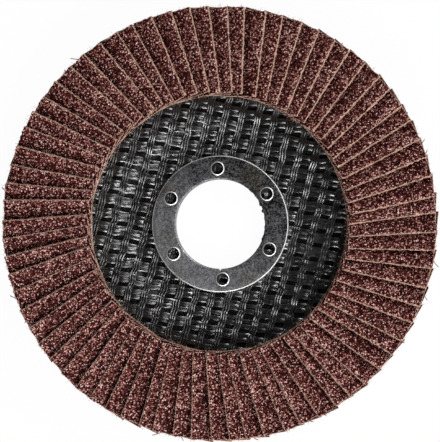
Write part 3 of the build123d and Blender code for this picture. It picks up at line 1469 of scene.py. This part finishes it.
@dataclass
class WovenPlate:
    """The pressed backing plate: black resin over an open glass mesh."""

    # The resin body.
    thickness: float = 2.4
    hub_back: float = 0.7
    hole_radius: float = 12.07
    hub_middle: float = 16.0
    dish_start: float = 20.4
    dish_end: float = 28.3
    dish_rise: float = 2.6
    dish_steps: int = 14
    rim_round: float = 0.5
    pocket_depth: float = 0.25
    pocket_end: float = 33.0
    pocket_wall: float = 0.1
    segments: int = 240
    # The weave.
    turn: float = -14.7
    wefts: YarnSet = YarnSet(Yarn.WEFT, pitch=3.58, offset=-0.8, shift=0.0, rest=0.0, rovings=2,
                             roving_pitch=1.25, width=1.35, sway=0.12, sides=10)
    warps: YarnSet = YarnSet(Yarn.WARP, pitch=4.03, offset=0.5, shift=0.5, rest=0.12, rovings=3,
                             roving_pitch=0.6, width=0.66, sway=0.08, sides=6)
    yarn_depth: float = 0.36
    wave_height: float = 0.17
    unevenness: float = 0.5
    drift: float = 0.9
    drift_rate: float = 0.3
    rough_rate: float = 0.8
    rough_stride: float = 7.0
    noise_stride: float = 13.1
    faces: tuple[WovenFace, ...] = (
        WovenFace(Side.FRONT, 12.7, 32.6, 0.45), WovenFace(Side.BACK, 14.4, 47.8, 1.1))
    body: LaminateFinish = LaminateFinish(
        name="laminate_body", stranded=False, gloss=0.1, smoothest=0.45, bump_depth=0.3)
    yarn: LaminateFinish = LaminateFinish()

    @property
    def radius(self) -> float:
        """The plate's outer radius, from the frame."""
        low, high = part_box("backing_plate")
        return (high.x - low.x) / 2 / MM

    def rise(self, radius: float) -> float:
        """How far the dish has risen at a radius."""
        share = min(max((radius - self.dish_start) / (self.dish_end - self.dish_start), 0.0), 1.0)
        return self.dish_rise * share * share * (3 - 2 * share)

    def front_height(self, radius: float) -> float:
        """The height of the resin between the yarns on the front."""
        sunk = self.pocket_depth if radius < self.pocket_end else 0.0
        return self.hub_back + self.thickness + self.rise(radius) - sunk

    def build_body(self) -> bpy.types.Object:
        """Makes the resin body, turned from its section.

        Returns:
            The piece.
        """
        rim = self.radius - self.rim_round
        slope = np.linspace(self.dish_start, self.dish_end, self.dish_steps + 1)
        pocket = (self.pocket_end - self.pocket_wall, self.pocket_end)
        stations = [self.hole_radius, self.hub_middle, *slope, *pocket, rim]
        back = [(r, self.hub_back + self.rise(r)) for r in stations]
        front = [(r, self.front_height(r)) for r in reversed(stations)]
        low = self.hub_back + self.dish_rise + self.rim_round
        high = self.hub_back + self.dish_rise + self.thickness - self.rim_round
        lower = arc((rim, low), self.rim_round, -90, 0, 3)[1:]
        upper = arc((rim, high), self.rim_round, 0, 90, 3)[:-1]
        piece = lathe("backing_plate_body", back + lower + upper + front, self.segments)
        shade_smooth(piece)
        piece.data.materials.append(self.body.material())
        return put(piece, ["backing_plate"])

    def seed(self, tree: ShapeTree) -> bpy.types.NodeSocket:
        """A number that keeps one roving's noise apart from the next one's."""
        return tree.math("MULTIPLY", tree.attribute("number"), self.noise_stride)

    def weave(self, tree: ShapeTree, side: Side, yarns: YarnSet,
              crossing: YarnSet) -> tuple[bpy.types.NodeSocket, ...]:
        """Where a point of a straight yarn goes as it dips under and over those it crosses.

        Args:
            tree: The tree, with the yarns laid along X.
            side: The face that they lie on.
            yarns: The yarns.
            crossing: The yarns that they cross.

        Returns:
            The distance along the yarn, and the point's place in the frame.
        """
        along, across, _ = tree.split(tree.position)
        number = self.seed(tree)
        passed = tree.math("SUBTRACT", along, tree.size("Cross Offset", crossing.offset))
        cycle = tree.math("DIVIDE", passed, tree.size("Cross Pitch", crossing.pitch))
        angle = tree.math("MULTIPLY", cycle, 2 * math.pi)
        slow = tree.math("MULTIPLY", along, self.drift_rate)
        drift = tree.noise(tree.combine(slow, number, 0.0), 1.0, 2.0)
        drift = tree.math("MULTIPLY_ADD", drift, self.drift, -self.drift / 2)
        sway = tree.size("Sideways Sway", yarns.sway)
        aside = tree.math("ADD", across, tree.math("MULTIPLY_ADD", tree.math("SINE", angle), sway, drift))
        quick = tree.math("MULTIPLY", along, self.rough_rate)
        other = tree.math("MULTIPLY", number, self.rough_stride)
        rough = tree.math("SUBTRACT", tree.noise(tree.combine(quick, other, 0.0), 1.0, 2.0), 0.5)
        rough = tree.math("MULTIPLY", rough, tree.size("Unevenness", self.unevenness))
        bob = tree.math("MULTIPLY", tree.math("COSINE", angle), tree.size("Wave Height", self.wave_height))
        lift = tree.math("ADD", tree.math("ADD", bob, rough), tree.attribute("rest"))
        radius = tree.vector("LENGTH", tree.combine(along, aside, 0.0))
        rise = tree.ramp(radius, self.dish_start, self.dish_end, 0.0, self.dish_rise, "SMOOTHSTEP")
        level = self.hub_back + (self.thickness if side is Side.FRONT else 0.0)
        z = tree.math("MULTIPLY_ADD", lift, side.value, tree.math("ADD", rise, level))
        flat = tree.combine(along, aside, z)
        if yarns.kind is Yarn.WARP:
            flat = tree.combine(tree.math("MULTIPLY", aside, -1.0), along, z)
        return along, tree.rotate(flat, tree.size("Turn", math.radians(self.turn)), "Z")

    def trim(self, tree: ShapeTree, curves: object, face: WovenFace) -> bpy.types.Node:
        """Keeps the runs of yarn that lie between a face's two radii.

        Args:
            tree: The tree.
            curves: The yarns' lines.
            face: The face.

        Returns:
            The node that gives the lines that are left.
        """
        distance = tree.vector("LENGTH", tree.vector("MULTIPLY", tree.position, (1.0, 1.0, 0.0)))
        beyond = tree.math("GREATER_THAN", distance, face.outer)
        within = tree.math("LESS_THAN", distance, face.inner)
        outside = tree.math("MAXIMUM", beyond, within)
        wires = tree.add("GeometryNodeCurveToMesh", {"Curve": curves})
        inputs = {"Geometry": wires, "Selection": outside}
        kept = tree.add("GeometryNodeDeleteGeometry", inputs, domain="POINT")
        runs = tree.add("GeometryNodeMeshToCurve", {"Mesh": kept})
        return tree.add("GeometryNodeSetCurveNormal", {"Curve": runs}, mode="Z_UP")

    def yarn_tree(self, name: str, face: WovenFace, yarns: YarnSet, crossing: YarnSet) -> ShapeTree:
        """The tree that lays one set of yarns over the plate.

        Args:
            name: The tree's name.
            face: The face that they cover.
            yarns: The yarns.
            crossing: The yarns that they cross.

        Returns:
            The tree, for a mesh of one point a roving.
        """
        tree = ShapeTree(name)
        reach = face.outer + 1
        line = tree.add("GeometryNodeCurvePrimitiveLine", {"Start": (-reach, 0, 0), "End": (reach, 0, 0)})
        step = tree.size("Step", face.step)
        lines = tree.repeat(tree.geometry, line)
        spaced = tree.add("GeometryNodeResampleCurve", {"Curve": lines, "Length": step}, mode="LENGTH")
        along, place = self.weave(tree, face.side, yarns, crossing)
        woven = tree.move(tree.store(spaced, "run", along), place)
        ring = tree.add("GeometryNodeCurvePrimitiveCircle", {"Resolution": yarns.sides, "Radius": 0.5})
        width, depth = tree.size("Yarn Width", yarns.width), tree.size("Yarn Depth", self.yarn_depth)
        stretched = tree.vector("MULTIPLY", tree.position, tree.combine(width, depth, 1.0))
        oval = tree.store(tree.move(ring, stretched), "girth", tree.split(tree.position)[0])
        tube = tree.add("GeometryNodeCurveToMesh", {
            "Curve": self.trim(tree, woven, face), "Profile Curve": oval, "Fill Caps": True})
        strand = tree.combine(tree.attribute("run"), tree.attribute("girth"), self.seed(tree))
        named = tree.store(tube, "strand", strand, "FLOAT_VECTOR")
        smooth = tree.add("GeometryNodeSetShadeSmooth", {"Geometry": named})
        sized = tree.add("GeometryNodeTransform", {"Geometry": smooth, "Scale": (MM, MM, MM)})
        tree.finish(sized, (self.yarn.material(), True))
        return tree

    def build_yarns(self, face: WovenFace, yarns: YarnSet, crossing: YarnSet) -> bpy.types.Object:
        """Makes the yarns of one face that run one way.

        Args:
            face: The face.
            yarns: The yarns.
            crossing: The yarns that they cross.

        Returns:
            The piece.
        """
        name = f"{face.side.name.lower()}_{yarns.kind.value}"
        lays = yarns.lays(face.outer)
        way = -1.0 if yarns.kind is Yarn.WARP else 1.0
        middles = [lay.pop("middle") * way for lay in lays]
        piece = new_object(f"plate_{name}", np.array([(0.0, middle, 0.0) for middle in middles]), [])
        give_points(piece, lays)
        return put(self.yarn_tree(name, face, yarns, crossing).run(piece))

    def build(self) -> list[bpy.types.Object]:
        """Makes the body and both faces' yarns.

        Returns:
            The pieces.
        """
        pieces = [self.build_body()]
        for face in self.faces:
            pieces.append(self.build_yarns(face, self.wefts, self.warps))
            pieces.append(self.build_yarns(face, self.warps, self.wefts))
        return pieces


# ---------------------------------------------------------------------------- arbor ring


@dataclass
class ArborRing:
    """The pressed steel ring: flange, neck and crimped lip, with six pierced holes."""

    # The section.
    bore_radius: float = 11.115
    neck_radius: float = 12.015
    flange_radius: float = 16.95
    lip_radius: float = 14.2
    lip_thickness: float = 0.7
    hub_front: float = 3.1
    flange_front: float = 4.0
    edge_round: float = 0.25
    mouth_round: float = 0.3
    lip_round: float = 0.2
    back_bevel: float = 0.15
    under_bevel: float = 0.1
    flat_rings: tuple[float, ...] = (15.5, 14.0, 12.5)
    segments: int = 360
    # The holes, their rims and the nick.
    hole_count: int = 6
    hole_circle: float = 13.75
    hole_radius: float = 1.2
    hole_sides: int = 40
    first_hole: float = 92.6
    rim_radius: float = 1.75
    rim_height: float = 0.2
    rim_steps: int = 48
    bead_sides: int = 10
    nick_width: float = 0.75
    nick_depth: float = 0.7
    cut_margin: float = 0.5
    # The burrs: the turn they cover in degrees, the metal they are torn from and their reach.
    burr_start: float = -38.0
    burr_end: float = 62.0
    burr_band: float = 0.16
    burr_depth: float = 0.31
    burr_reach: float = 0.75
    burr_floor: float = 0.45
    burr_seed: int = 11
    burr_segments: int = 3
    finish: SteelFinish = SteelFinish()
    rim_finish: RimFinish = RimFinish()

    def section(self) -> list[tuple[float, float]]:
        """The ring's section, with its rounded edges.

        Returns:
            Radius and height of each corner, anticlockwise.
        """
        edge, mouth, lip = self.edge_round, self.mouth_round, self.lip_round
        top, bore = self.flange_front, self.bore_radius
        return [
            (bore, self.back_bevel),
            (bore + self.back_bevel, 0.0),
            (self.lip_radius - lip, 0.0),
            *arc((self.lip_radius - lip, lip), lip, -60, 0, 2),
            (self.lip_radius, self.lip_thickness),
            (self.neck_radius, self.lip_thickness),
            (self.neck_radius, self.hub_front),
            (self.flange_radius - self.under_bevel, self.hub_front),
            (self.flange_radius, self.hub_front + self.under_bevel),
            *arc((self.flange_radius - edge, top - edge), edge, 0, 90, 4),
            *((radius, top) for radius in self.flat_rings),
            *arc((bore + mouth, top - mouth), mouth, 90, 180, 4),
        ]

    def roughen_bore(self, piece: bpy.types.Object) -> None:
        """Leaves torn burrs on the bore's front edge, over part of its turn.

        Args:
            piece: The ring.
        """
        chance = np.random.default_rng(self.burr_seed)
        teeth = np.repeat(chance.random(self.segments // self.burr_segments), self.burr_segments)
        for vertex in piece.data.vertices:
            radius = math.hypot(vertex.co.x, vertex.co.y) / MM
            angle = math.degrees(math.atan2(vertex.co.y, vertex.co.x))
            is_mouth = vertex.co.z / MM > self.flange_front - self.burr_depth
            is_near = radius < self.bore_radius + self.burr_band
            if is_mouth and is_near and self.burr_start < angle < self.burr_end:
                share = (angle - self.burr_start) / (self.burr_end - self.burr_start)
                tooth = teeth[int((angle % 360) / 360 * self.segments) % self.segments]
                torn = max(tooth - self.burr_floor, 0) * self.burr_reach * math.sin(math.pi * share)
                vertex.co.x *= 1 - torn / radius
                vertex.co.y *= 1 - torn / radius

    def cutters(self) -> list[bpy.types.Object]:
        """The six prisms that cut the holes, and the one that cuts the nick.

        Returns:
            The cutters.
        """
        low, high = self.hub_front - self.cut_margin, self.flange_front + self.cut_margin
        made = []
        for number in range(self.hole_count):
            angle = math.radians(self.first_hole + number * 360 / self.hole_count)
            x, y = self.hole_circle * math.cos(angle), self.hole_circle * math.sin(angle)
            outline = arc((x, y), self.hole_radius, 0, 360, self.hole_sides)[:-1]
            made.append(prism(f"hole_{number}", outline, low, high))
        half, radius, depth = self.nick_width / 2, self.bore_radius, self.nick_depth
        outline = [(-half, depth - radius), (-half, -radius), (0, -radius - depth), (half, -radius),
                   (half, depth - radius)]
        return made + [prism("nick", outline, -self.cut_margin, high)]

    def pierce(self, piece: bpy.types.Object) -> None:
        """Cuts the six holes and the nick.

        Args:
            piece: The ring.
        """
        cutters = self.cutters()
        for cutter in cutters:
            modifier = piece.modifiers.new(cutter.name, "BOOLEAN")
            modifier.operation = "DIFFERENCE"
            modifier.solver = "EXACT"
            modifier.object = cutter
        settle(piece)
        for cutter in cutters:
            bpy.data.objects.remove(cutter)

    def rim_tree(self) -> ShapeTree:
        """The tree that stands a rolled rim round each hole.

        Returns:
            The tree.
        """
        tree = ShapeTree("pierced_rims")
        inner = tree.size("Inner Radius", self.hole_radius)
        outer = tree.size("Outer Radius", self.rim_radius)
        height = tree.size("Height", self.rim_height)
        count = tree.size("Count", self.hole_count, "NodeSocketInt")
        circle = tree.size("Hole Circle", self.hole_circle)
        first = tree.size("First Angle", math.radians(self.first_hole))
        top = tree.size("Flange Height", self.flange_front)
        index = tree.add("GeometryNodeInputIndex")
        angle = tree.math("MULTIPLY_ADD", index, tree.math("DIVIDE", 2 * math.pi, count), first)
        x, y = (tree.math("MULTIPLY", tree.math(way, angle), circle) for way in ("COSINE", "SINE"))
        points = tree.add("GeometryNodePoints", {"Count": count, "Position": tree.combine(x, y, top)})
        middle = tree.math("MULTIPLY", tree.math("ADD", inner, outer), 0.5)
        half = tree.math("MULTIPLY", tree.math("SUBTRACT", outer, inner), 0.5)
        path = tree.add("GeometryNodeCurvePrimitiveCircle", {"Resolution": self.rim_steps, "Radius": middle})
        bead = tree.add("GeometryNodeCurvePrimitiveCircle", {"Resolution": self.bead_sides, "Radius": 1.0})
        sided = tree.store(bead, "outward", tree.split(tree.position)[0])
        shaped = tree.move(sided, tree.vector("MULTIPLY", tree.position, tree.combine(half, height, 1.0)))
        rim = tree.add("GeometryNodeCurveToMesh", {"Curve": path, "Profile Curve": shaped})
        smooth = tree.add("GeometryNodeSetShadeSmooth", {"Geometry": tree.repeat(points, rim)})
        sized = tree.add("GeometryNodeTransform", {"Geometry": smooth, "Scale": (MM, MM, MM)})
        tree.finish(sized, (self.rim_finish.material(), True))
        return tree

    def build(self) -> list[bpy.types.Object]:
        """Makes the ring and its rims.

        Returns:
            The pieces.
        """
        ring = lathe("arbor_ring_pressing", self.section(), self.segments)
        self.roughen_bore(ring)
        self.pierce(ring)
        shade_smooth(ring)
        ring.data.materials.clear()
        ring.data.materials.append(self.finish.material())
        put(ring, ["arbor_ring"])
        rims = new_object("pierced_rims", np.zeros((1, 3)), [])
        return [ring, put(self.rim_tree().run(rims))]


# -------------------------------------------------------------------------- adhesive bed


@dataclass
class AdhesiveBed:
    """The toothed glue under the flaps, kept from the frame with a finish of its own."""

    finish: GlueFinish = GlueFinish()

    def build(self) -> list[bpy.types.Object]:
        """Dresses the frame's own node.

        Returns:
            The node.
        """
        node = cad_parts["adhesive_bed"]
        node.data.materials.clear()
        node.data.materials.append(self.finish.material())
        return [node]


# ---------------------------------------------------------------------------------- studio


@dataclass(frozen=True)
class Softbox:
    """A square lamp that faces the disc.

    Its azimuth runs round the disc from +X and its height up from the floor, both in degrees.
    Its side and distance are in metres, its power in watts.
    """

    name: str
    azimuth: float
    power: float
    height: float = 38.0
    side: float = 0.35
    distance: float = 0.8

    def build(self) -> None:
        """Hangs the lamp."""
        data = bpy.data.lights.new(self.name, "AREA")
        data.energy, data.size = self.power, self.side
        lamp = bpy.data.objects.new(self.name, data)
        bpy.context.scene.collection.objects.link(lamp)
        a, h = math.radians(self.azimuth), math.radians(self.height)
        away = Vector((math.cos(a) * math.cos(h), math.sin(a) * math.cos(h), math.sin(h)))
        lamp.location = away * self.distance
        lamp.rotation_mode = "QUATERNION"
        lamp.rotation_quaternion = away.to_track_quat("Z", "Y")


@dataclass
class Studio:
    """Camera, lamps, world and floor."""

    # The camera: millimetres, and degrees that it leans to the right and downwards.
    distance: float = 600.0
    camera_right: float = 3.5
    camera_down: float = 1.3
    aim: Place = (0.0, 0.7, 4.0)
    pixels_per_mm: float = 4.017
    frame_pixels: int = 440
    sensor: float = 36.0
    # Lamps, world and floor.
    lamps: tuple[Softbox, ...] = (
        Softbox("key_softbox", -82, 4.9),
        Softbox("side_softbox", 45, 3.6),
        Softbox("fill_softbox", -35, 2.8),
    )
    horizon: Colour = (0.3, 0.3, 0.3, 1.0)
    ceiling: Colour = (0.02, 0.02, 0.02, 1.0)
    floor_reach: float = 3.0
    floor: FloorFinish = FloorFinish()

    def build_camera(self) -> None:
        """A long lens, almost straight above the disc."""
        data = bpy.data.cameras.new("camera")
        data.sensor_width = self.sensor
        data.lens = self.sensor * self.pixels_per_mm * self.distance / self.frame_pixels
        data.clip_start, data.clip_end = 0.01, 20.0
        data.dof.use_dof = False
        camera = bpy.data.objects.new("camera", data)
        bpy.context.scene.collection.objects.link(camera)
        target = Vector(self.aim) * MM
        aside, down = math.tan(math.radians(self.camera_right)), -math.tan(math.radians(self.camera_down))
        back = Vector((aside, down, 1.0)).normalized()
        right = Vector((0, 1, 0)).cross(back).normalized()
        turn = Matrix((right, back.cross(right), back)).transposed().to_4x4()
        camera.matrix_world = Matrix.Translation(target + back * self.distance * MM) @ turn
        bpy.context.scene.camera = camera

    def build_world(self) -> None:
        """A pale horizon under a dim ceiling."""
        world = bpy.data.worlds.new("studio")
        world.use_nodes = True
        bpy.context.scene.world = world
        graph = Graph(world.node_tree)
        height = graph.split(graph.add("ShaderNodeTexCoord").outputs["Generated"])[2]
        colour = graph.tint(graph.ramp(height, 0.15, 0.75, 0.0, 1.0), self.horizon, self.ceiling)
        graph.feed(world.node_tree.nodes["Background"].inputs["Color"], colour)

    def build_floor(self) -> bpy.types.Object:
        """Lays a wide sheet of paper under the disc.

        Returns:
            The floor.
        """
        half = self.floor_reach
        corners = np.array([(-half, -half, 0), (half, -half, 0), (half, half, 0), (-half, half, 0)])
        floor = new_object("studio_floor", corners, [(0, 1, 2, 3)])
        floor.data.materials.append(self.floor.material())
        return floor

    def build(self) -> list[bpy.types.Object]:
        """Sets up the studio.

        Returns:
            The floor.
        """
        self.build_camera()
        for lamp in self.lamps:
            lamp.build()
        self.build_world()
        bpy.context.scene.view_settings.view_transform = "Standard"
        return [self.build_floor()]


def report(piece: bpy.types.Object) -> None:
    """Logs a finished piece's triangles and finishes."""
    triangles = sum(len(face.vertices) - 2 for face in piece.data.polygons)
    LOG.info("%s: %d triangles in %s", piece.name, triangles, ", ".join(piece.data.materials.keys()))


def main() -> None:
    """Builds the studio, then each sub-assembly."""
    logging.basicConfig(level=logging.INFO, format="%(message)s")
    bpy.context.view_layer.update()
    fan = FlapFan()
    disc = (ArborRing(), WovenPlate(), AdhesiveBed(), fan, FrayedThreads(fan), LooseThreads(fan))
    for assembly in (Studio(), *disc):
        for piece in assembly.build():
            report(piece)


if __name__ == "__main__":
    main()
